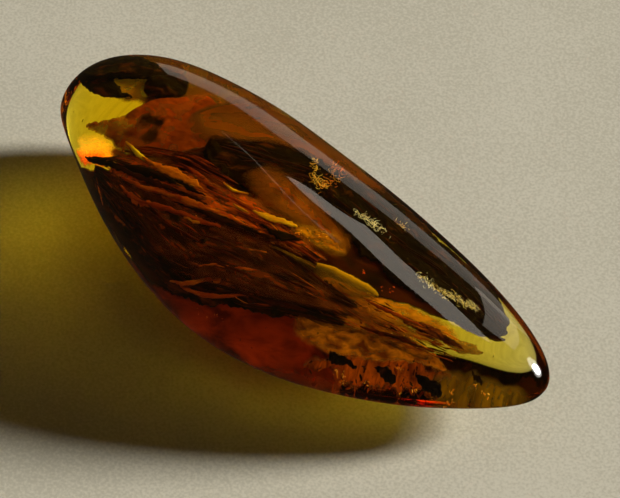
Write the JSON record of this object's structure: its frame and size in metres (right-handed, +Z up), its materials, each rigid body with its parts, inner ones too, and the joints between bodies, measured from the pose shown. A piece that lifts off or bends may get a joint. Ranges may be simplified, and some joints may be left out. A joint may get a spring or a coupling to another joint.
{
  "type": "amber piece",
  "caption": "Polished piece of clear amber shaped like a long pebble, blunt at one end and pointed at the other, with bark, leaf and wood scraps sealed inside; it lies on a flat underside.",
  "frame": {"origin": "middle of the bounding box's underside, on the plane of the flat underside", "axes": "+X along the piece from the blunt end to the tip, +Y towards its straighter side, +Z up from the flat underside"},
  "size_m": [0.0492, 0.0204, 0.0148],
  "materials": {
    "amber": "polished clear amber, yellow where thin and orange-brown where thick",
    "bark": "matte, near black",
    "leaf": "matte, translucent brown",
    "wood": "matte, fibrous dark red-brown",
    "golden_wood": "satin, golden"
  },
  "bodies": {
    "root": {"amber_upper": "amber", "amber_lower": "amber", "bark_strip": "bark", "bark_chip": "bark", "leaf_scrap": "leaf", "wood_fragment": "wood", "splinter_upper": "wood", "splinter_golden": "golden_wood", "splinter_tip": "wood", "bark_crumb_1": "bark", "bark_crumb_2": "bark", "bark_crumb_3": "bark", "bark_crumb_4": "bark"}
  },
  "joints": []
}
